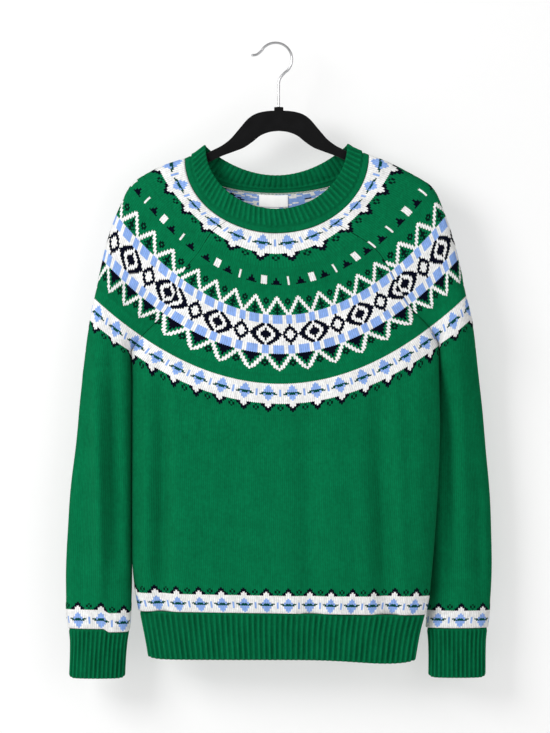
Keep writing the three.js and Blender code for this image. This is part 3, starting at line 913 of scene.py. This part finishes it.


# Painted shade in the colour: groove darkens the grooves between wales; depth darkens all of it and
# ridge lightens it again towards a rib's tops, so a rib's valleys are darkest.
def knit_material(name, groove, bump, depth=1.0, ridge=0.0):
    made, tree, shader = new_material(name)
    yarn = node(tree, "ShaderNodeAttribute", {"attribute_name": "yarn"}).outputs["Color"]
    stitch = node(tree, "ShaderNodeAttribute", {"attribute_name": "stitch"}).outputs["Vector"]
    split = node(tree, "ShaderNodeSeparateXYZ", i0=stitch)
    wale, row = split.outputs[0], split.outputs[1]

    def humps(value, turn):
        return maths(tree, "ABSOLUTE", maths(tree, "SINE", maths(tree, "MULTIPLY", value, turn)))

    # Each leg of a stitch is half a wale wide: high along its middle, low at its sides.
    leg, between = humps(wale, 2 * math.pi), humps(wale, math.pi)
    course = humps(row, math.pi)
    place = node(tree, "ShaderNodeTexCoord").outputs["Object"]
    fibre = noise(tree, place, 900.0, 2.0)
    # Painted shade: the colour darkens in the grooves between wales, by up to groove.
    tone = maths(tree, "MULTIPLY_ADD", between, groove)
    tone.node.inputs[2].default_value = 1 - groove * 0.75
    # Painted shade: ambient occlusion darkens the colour in creases, in the ribs' valleys and inside
    # the neck.
    occlusion_shade = node(tree, "ShaderNodeAmbientOcclusion", {"samples": 6}, Distance=0.016)
    for share, low, high in (
        (noise(tree, place, 38.0, 3.0), 0.83, 1.13),  # mottle
        (noise(tree, stretched(tree, place, 0.12), 420.0, 2.0), 0.82, 1.18),  # streaks
        (fibre, 0.88, 1.12),
        # Painted shade: the colour is scaled by depth plus ridge times the rib's height, so a rib's
        # valleys are darkest.
        (split.outputs[2], depth, depth + ridge),
        (occlusion_shade.outputs["AO"], 0.45, 1.0),
        (noise(tree, place, 260.0, 1.0), 0.8, 1.2),  # lumps in the yarn
    ):
        tone = maths(tree, "MULTIPLY", tone, spread(tree, share, low, high))
    colour = node(tree, "ShaderNodeVectorMath", {"operation": "SCALE"}, i0=yarn, Scale=tone)
    height = maths(tree, "MULTIPLY", leg, 0.6)
    for part, share in ((course, 0.3), (fibre, 0.5)):
        height = maths(tree, "ADD", height, maths(tree, "MULTIPLY", part, share))
    fill(tree, shader, {
        "Base Color": colour.outputs[0], "Normal": relief(tree, height, bump, 0.0005),
        "Roughness": 0.86, "Specular IOR Level": 0.03, "Sheen Weight": 0.015,
        "Sheen Roughness": 0.55, "Sheen Tint": (0.5, 1.0, 0.75, 1.0),
    })
    return made


def label_material():
    made, tree, shader = new_material("woven label")
    place = node(tree, "ShaderNodeTexCoord").outputs["Object"]
    warp, weft = (
        node(tree, "ShaderNodeTexWave", {"bands_direction": way}, Vector=place, Scale=scale)
        for way, scale in (("X", 900.0), ("Z", 1400.0))
    )
    weave = maths(tree, "MULTIPLY", warp.outputs["Fac"], weft.outputs["Fac"])
    colour = two_tone(tree, weave, (0.84, 0.84, 0.83), (0.95, 0.95, 0.94))
    # The label glows faintly: painted light, so it stays white in the shade inside the neck.
    fill(tree, shader, {
        "Base Color": colour, "Normal": relief(tree, weave, 0.25, 0.0002),
        "Roughness": 0.6, "Emission Color": (1, 1, 0.98, 1), "Emission Strength": 0.12,
    })
    return made


def flock_material():
    made, tree, shader = new_material("black flock")
    place = node(tree, "ShaderNodeTexCoord").outputs["Object"]
    pile = noise(tree, place, 2600.0, 2.0)
    mix = maths(tree, "MULTIPLY", pile, noise(tree, place, 70.0, 3.0))
    colour = two_tone(tree, mix, (0.0022, 0.0022, 0.0024), (0.011, 0.011, 0.012))
    fill(tree, shader, {
        "Base Color": colour, "Normal": relief(tree, pile, 0.6, 0.0003), "Roughness": 0.95,
        "Specular IOR Level": 0.1, "Sheen Weight": 0.1, "Sheen Roughness": 0.5,
    })
    return made


def wire_material():
    made, tree, shader = new_material("plated wire")
    place = node(tree, "ShaderNodeTexCoord").outputs["Object"]
    rub = noise(tree, stretched(tree, place, 0.2), 700.0, 3.0)
    fill(tree, shader, {
        "Base Color": two_tone(tree, rub, (0.42, 0.42, 0.43), (0.66, 0.66, 0.67)),
        "Roughness": spread(tree, rub, 0.14, 0.32), "Metallic": 1.0,
    })
    return made


# ---- the pieces

# Both have painted shade in the grooves between wales; the rib's colour is also darkened throughout,
# and most in its valleys, as painted shade.
KNIT = knit_material("stocking stitch", 0.27, 0.55)
RIB = knit_material("rib", 0.22, 0.5, 0.86, 0.14)
LABEL = label_material()
FLOCK = flock_material()
WIRE = wire_material()


def finish_piece(piece, material, name):
    piece.data.materials.append(material)
    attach(piece, BODY_NAME)
    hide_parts(name)


def rows_for(body_rows):
    """Row number to level, for a panel with YOKE_ROWS on the yoke and short rows in its trim."""
    heights = np.ones(body_rows)
    heights[-TRIM:] = TRIM_ROW_TALL / ROW_TALL
    below = np.concatenate([[0], np.cumsum(heights)]) / heights.sum()
    rows = np.concatenate([np.arange(YOKE_ROWS), YOKE_ROWS + np.arange(body_rows + 1)])
    levels = np.concatenate([np.arange(YOKE_ROWS) / YOKE_ROWS, 1 + below])
    return lambda row: np.interp(row, rows, levels)


FLIPPED = PEERIE[::-1]
BODY_ROWS, TUBE_ROWS = 148, 206
# Stitches left and right of the middle of the front, in each run of rows with one count.
COUNTS = [
    (0, 25, 27, 30), (25, 39, 40, 52), (39, 99, 54, 66), (99, 128, 80, 86),
    (128, YOKE_ROWS + BODY_ROWS, 82, 86),
]
MIDDLE_LINE = ([247, 454, 740], [-2.5, 4.8, 9.0])  # depth below the origin and x
HEM_COLUMN = 9  # the trim's column at the middle of the front
SLEEVE_COUNTS = [(0, 25), (25, 39), (39, 99), (99, 140), (140, YOKE_ROWS + TUBE_ROWS)]
SLEEVE_WIDTHS = [2.8, 2.75, 2.7, 2.6, 2.5]
CUFF_COLUMN = {"left": 6, "right": 4}  # the trim's column at the sleeve's seam


def floats(total):
    """The strands across the inside of the back, under the neck: rows and their yarns."""
    rows = np.concatenate([np.arange(0, 22), np.arange(24, total, 9), [total]]).astype(float)
    yarns = np.zeros((len(rows) - 1, INNER_COLUMNS), int)
    dice = np.random.default_rng(7)
    number = {name: i for i, name in enumerate(YARN_NAMES)}
    yarns[0, ::2] = number["W"]
    for r in range(1, 19):
        run = 0
        while run < INNER_COLUMNS:
            length, chance = int(dice.integers(4, 11)), dice.random()
            if r < 3:
                yarn = "W" if chance < 0.6 else "B"
            elif r < 14:
                yarn = "W" if chance < 0.36 else ("N" if chance > 0.955 else "B")
            else:
                yarn = "W" if chance < 0.35 else ("N" if chance > 0.72 else ".")
            yarns[r, run:run + length] = number[yarn]
            run += length
    return rows, yarns


for hand, way in (("left", -1), ("right", 1)):
    at, to_level = sleeve_point(hand), rows_for(TUBE_ROWS)
    zones = []
    for (first, last), width in zip(SLEEVE_COUNTS, SLEEVE_WIDTHS):
        line = to_level(np.array([(first + last) / 2]))
        front_run = even_turns(at, line, 8, -1.0, 0.0)[1][0]
        back_run = even_turns(at, line, 8, 0.0, 1.0)[1][0]
        zones.append((first, last, round(front_run / width), round(back_run / width)))

    def charts_for(before, after, hand=hand, way=way):
        charts = []
        for band, (_, _, left, right) in zip(BANDS, COUNTS):
            start = band[hand]
            if start is None:
                start = band["front"] + (right if hand == "right" else -left)
            charts.append((band["row"], band["chart"], start, way))
        return charts + [(YOKE_ROWS + TUBE_ROWS - TRIM, FLIPPED, CUFF_COLUMN[hand], 1)]

    finish_piece(knit_panel(
        "sleeve_" + hand, at, to_level, YOKE_ROWS + TUBE_ROWS, zones, charts_for,
        lambda levels: levels * 0, away_from(SLEEVES[hand]["back"][5]),
        3.0 if hand == "left" else 4.4,
    ), KNIT, "sleeve_" + hand)
    finish_piece(rib_piece(
        "cuff_" + hand, cuff_point(hand), 5.7, CUFF_TOP_Z - CUFF_BOTTOM_Z,
        away_from(CUFFS[hand]["back"][1]), closed=True, wave=0.3,
    ), RIB, "cuff_" + hand)

for panel, side in (("front", -1), ("back", 1)):
    at = panel_point(side)
    total = YOKE_ROWS + BODY_ROWS

    def charts_for(before, after):
        charts = [(band["row"], band["chart"], band["front"] - before, 1) for band in BANDS]
        return charts + [(YOKE_ROWS + BODY_ROWS - TRIM, FLIPPED, HEM_COLUMN - before, 1)]

    inner_rows, inner_yarns = floats(total) if side > 0 else (None, None)
    finish_piece(knit_panel(
        panel, at, rows_for(BODY_ROWS), total, COUNTS, charts_for,
        lambda levels, at=at: middle_turns(at, levels, MIDDLE_LINE),
        towards(side), 1.0 + side, level_rows(side), inner_rows, inner_yarns,
    ), KNIT, panel)

for panel, side in (("front", -1), ("back", 1)):
    finish_piece(rib_piece(
        "hem_rib_" + panel, hem_point(side), 6.9, HEM_TOP_Z - HEM_BOTTOM_Z, towards(side),
        wave=0.5,
    ), RIB, "hem_rib_" + panel)

finish_piece(rib_piece(
    "neckband", neck_point, 7.0, 32, lambda place: np.array([0.0, place[1], 0.0]),
    closed=True, plain=0.26, amplitude=0.7, wave=0.5,
), RIB, "neckband")

# ---- label, hanger, hook

LABEL_CLOTH = 0.7
LABEL_DROP, LABEL_TALL = 2.5, 16.0  # from the neck seam to the label, and its height
HANGER_X, HANGER_HALF_THICK, HANGER_ROUND = 4.2, 2.5, 1.7
HANGER_ARM_END, HANGER_END_RADIUS, HANGER_END_Z = 176.0, 6.5, -193.3
HANGER_TOP = table(
    ["place", "z"], [0, -86.6], [12, -86.9], [24, -88.8], [33, -92.2], [41, -98.2], [52, -111.0],
    [63, -123.6], [74, -132], [86, -138.2], [120, -156.6], [150, -172.8], [HANGER_ARM_END, -186.8],
)
HANGER_UNDER = table(
    ["place", "z"], [0, -113.1], [12, -114.6], [24, -119.3], [34, -127.2], [45, -134.6],
    [58, -139.8], [73, -145.3], [86, -151.2], [120, -169.6], [HANGER_ARM_END, -199.8],
)
BOSS_TOP_Z, BOSS_TALL, BOSS_HALF_WIDE, BOSS_ROUND = -82.0, 7.0, 6.0, 1.2
WIRE_RADIUS, LOOP_RADIUS, LOOP_Z = 1.6, 21.4, -19.8
LOOP_TURNS = (-58, 150)  # degrees
STEM = [(4.2, -82.0), (4.2, -70.0), (4.2, -58.0), (5.2, -46.5)]
TIP = [(-24.6, -13.8), (-31.6, -14.8)]


def outward_faces(piece):
    work = bmesh.new()
    work.from_mesh(piece.data)
    bmesh.ops.recalc_face_normals(work, faces=work.faces)
    work.to_mesh(piece.data)
    work.free()
    return piece


def rounded_box(half_wide, half_tall, round_, per_corner=6):
    """Points round a box with rounded corners, for arrays of half sizes: (rings, points, 2)."""
    half_wide, half_tall, round_ = np.broadcast_arrays(half_wide, half_tall, round_)
    corners = []
    for k, (across, up) in enumerate([(1, 1), (-1, 1), (-1, -1), (1, -1)]):
        angle = np.radians(np.linspace(90 * k, 90 * k + 90, per_corner))
        corners.append(np.stack([
            across * (half_wide - round_)[:, None] + round_[:, None] * np.cos(angle),
            up * (half_tall - round_)[:, None] + round_[:, None] * np.sin(angle),
        ], -1))
    return np.concatenate(corners, axis=1)


def lofted(shell, rings):
    """A closed skin through rings of points, with its two ends capped."""
    numbers = shell.add(rings, np.zeros(3))
    shell.grid(numbers, 0, closed=True)
    for line, ring in ((numbers[0], rings[0]), (numbers[-1], rings[-1])):
        centre = shell.add(ring.mean(axis=0)[None, None, :], np.zeros(3))[0, 0]
        faces = np.stack([line, np.roll(line, -1), np.full(len(line), centre)], -1)
        shell.add_faces(faces, 0, True)


def label_piece(name, centre, width, top, tall):
    """A thin woven label that follows the inside of the back, puffed a little between stitches."""
    down, along = np.linspace(0, 1, 13)[:, None], np.linspace(-0.5, 0.5, 41)[None, :]
    level = (top + tall * down) / (YOKE["back"][0] - YOKE["back"][1]) * YOKE["place"][1]
    middle, half = yoke_half(level)
    across = (centre + width * along - middle) / half
    depth = read(YOKE, "depth", level) * (1 - across**2) ** 0.25
    face = yoke_point(level, across, depth, 1)
    puff = 0.25 * np.sin(math.pi * down) * (1 - (2 * along) ** 6) + 0.1 * np.sin(along * 17 + 1)
    shell = Shell()
    behind = face - points(0, CLOTH + SEAM_GAP, 0)
    front = behind - points(0 * along, LABEL_CLOTH + puff, 0)
    near, far = shell.add(front, np.zeros(3)), shell.add(behind, np.zeros(3))
    ends = [np.stack([near[k], far[k]]) for k in (0, -1)]
    sides = [np.stack([near[:, k], far[:, k]]) for k in (0, -1)]
    for numbers in [near, far] + ends + sides:
        shell.grid(numbers, 0)
    return outward_faces(shell.build(name + "_woven"))


tab = label_piece("size_tab", -5.5, 21, LABEL_DROP + LABEL_TALL + NECK_GAP, 6)
finish_piece(tab, LABEL, "size_tab")
label = label_piece("label", -2.5, 38, LABEL_DROP, LABEL_TALL)
finish_piece(label, LABEL, "label")

shell = Shell()
end = HANGER_ARM_END + HANGER_END_RADIUS * np.sin(np.linspace(0, math.pi / 2 - 0.02, 12))
half = np.concatenate([np.linspace(0, HANGER_ARM_END, 150)[:-1], end])
x = np.concatenate([-half[:0:-1], half])
beyond = np.clip((np.abs(x) - HANGER_ARM_END) / HANGER_END_RADIUS, 0, 1)
tall = HANGER_END_RADIUS * np.sqrt(1 - beyond**2)
top = np.where(beyond > 0, HANGER_END_Z + tall, read(HANGER_TOP, "z", np.abs(x)))
under = np.where(beyond > 0, HANGER_END_Z - tall, read(HANGER_UNDER, "z", np.abs(x)))
thick = HANGER_HALF_THICK * np.sqrt(1 - beyond**6)
half_tall, middle_z = (top - under) / 2, ((top + under) / 2)[:, None]
section = rounded_box(half_tall, thick, np.minimum(HANGER_ROUND, np.minimum(thick, half_tall)))
lofted(shell, points((HANGER_X + x)[:, None], section[..., 1], middle_z + section[..., 0]))
levels = np.array([-BOSS_TALL, -BOSS_ROUND, -0.5 * BOSS_ROUND, -0.13 * BOSS_ROUND, 0.0])
inset = np.array([0.0, 0.0, 0.13, 0.5, 1.0]) * BOSS_ROUND
section = rounded_box(BOSS_HALF_WIDE - inset, HANGER_HALF_THICK - 0.1 - inset, BOSS_ROUND + 0 * inset)
lofted(shell, points(HANGER_X + section[..., 0], section[..., 1], (BOSS_TOP_Z + levels)[:, None]))
finish_piece(outward_faces(shell.build("hanger_velvet")), FLOCK, "hanger_body")

loop = np.radians(np.linspace(LOOP_TURNS[0], LOOP_TURNS[1], 14))
route = np.concatenate([
    STEM, np.stack([LOOP_RADIUS * np.cos(loop), LOOP_Z + LOOP_RADIUS * np.sin(loop)], -1), TIP,
])
far = np.concatenate([[0], np.cumsum(np.linalg.norm(np.diff(route, axis=0), axis=1))])
wire = {"place": far, "x": route[:, 0], "z": route[:, 1]}
places = np.linspace(0, far[-1], 220)
middle = points(read(wire, "x", places), 0, read(wire, "z", places))
ahead = np.gradient(middle, axis=0)
ahead /= np.linalg.norm(ahead, axis=1, keepdims=True)
side = np.cross(ahead, [0.0, 1.0, 0.0])
# The tip is rounded off.
left_to_go = np.clip((far[-1] - places) / WIRE_RADIUS, 0, 1)
radius = WIRE_RADIUS * np.sqrt(1 - (1 - left_to_go) ** 2) + 0.02
angle = np.linspace(0, 2 * math.pi, 25)[:-1]
rings = middle[:, None, :] + radius[:, None, None] * (
    side[:, None, :] * np.cos(angle)[None, :, None]
    + np.array([0.0, 1.0, 0.0]) * np.sin(angle)[None, :, None]
)
shell = Shell()
lofted(shell, rings)
finish_piece(outward_faces(shell.build("hook_wire_piece")), WIRE, "hanger_hook")

# ---- stage, light, camera


WALL_GREY, FLOOR_GREY, WALL_GLOW, WORLD_GLOW = 0.5, 0.86, 0.445, 0.5
WALL_Y, WALL_SIDE, WALL_TOP, FLOOR_Z = 62, 2500, 1500, -1400
FLOOR_SIDE, FLOOR_FRONT, FLOOR_BACK = 3000, -6000, 3000
# Name, place, the height it points at on the Z axis, size and power, in metres and watts.
LIGHTS = [
    ("key", (-1.6, -1.7, 0.5), -0.45, 1.1, 46),
    ("fill", (1.8, -2.4, -0.2), -0.45, 2.0, 14),
    ("rear", (0.8, 2.6, 0.6), -0.4, 2.0, 20),
]
CAMERA_DISTANCE, CAMERA_X, CAMERA_Z = 4.0, -0.0007, -0.4193
VIEW_HEIGHT = 0.9529  # what the frame takes in from top to bottom, at the hanger
SENSOR = 36  # Blender's, in mm


def place_in_scene(name, data):
    made = bpy.data.objects.new(name, data)
    bpy.context.scene.collection.objects.link(made)
    return made


def stage_plane(name, corners, one_sided):
    mesh = bpy.data.meshes.new(name)
    mesh.from_pydata([tuple(c * MM for c in corner) for corner in corners], [], [(0, 1, 2, 3)])
    made = place_in_scene(name, mesh)
    material, tree, shader = new_material(name)
    grey = WALL_GREY if one_sided else FLOOR_GREY
    fill(tree, shader, {
        "Base Color": (grey, grey, grey, 1), "Roughness": 0.9, "Specular IOR Level": 0.0,
    })
    if one_sided:
        fill(tree, shader, {
            "Emission Color": (1, 1, 0.995, 1), "Emission Strength": WALL_GLOW,
        })
        out = next(n for n in tree.nodes if n.type == "OUTPUT_MATERIAL")
        clear = node(tree, "ShaderNodeBsdfTransparent")
        behind = node(tree, "ShaderNodeNewGeometry").outputs["Backfacing"]
        mix = node(
            tree, "ShaderNodeMixShader", i0=behind, i1=shader.outputs[0], i2=clear.outputs[0],
        )
        tree.links.new(mix.outputs[0], out.inputs["Surface"])
        made.visible_shadow = made.visible_diffuse = made.visible_glossy = False
    mesh.materials.append(material)


stage_plane("wall", [
    (-WALL_SIDE, WALL_Y, FLOOR_Z), (WALL_SIDE, WALL_Y, FLOOR_Z),
    (WALL_SIDE, WALL_Y, WALL_TOP), (-WALL_SIDE, WALL_Y, WALL_TOP),
], True)
stage_plane("floor", [
    (-FLOOR_SIDE, FLOOR_FRONT, FLOOR_Z), (FLOOR_SIDE, FLOOR_FRONT, FLOOR_Z),
    (FLOOR_SIDE, FLOOR_BACK, FLOOR_Z), (-FLOOR_SIDE, FLOOR_BACK, FLOOR_Z),
], False)

world = bpy.data.worlds.new("studio")
world.use_nodes = True
world.node_tree.nodes["Background"].inputs[0].default_value = (1, 1, 1, 1)
world.node_tree.nodes["Background"].inputs[1].default_value = WORLD_GLOW
bpy.context.scene.world = world

for name, place, target_z, size, power in LIGHTS:
    lamp = bpy.data.lights.new(name, "AREA")
    lamp.shape, lamp.size, lamp.energy = "SQUARE", size, power
    made = place_in_scene(name, lamp)
    made.location = place
    ahead = Vector((0, 0, target_z)) - Vector(place)
    made.rotation_euler = ahead.to_track_quat("-Z", "Y").to_euler()

bpy.context.scene.view_settings.view_transform = "Standard"

camera_data = bpy.data.cameras.new("camera")
camera_data.lens = SENSOR * CAMERA_DISTANCE / VIEW_HEIGHT
camera_data.clip_end = 50
camera = place_in_scene("camera", camera_data)
camera.location = (CAMERA_X, -CAMERA_DISTANCE, CAMERA_Z)
camera.rotation_euler = (math.pi / 2, 0, 0)
bpy.context.scene.camera = camera
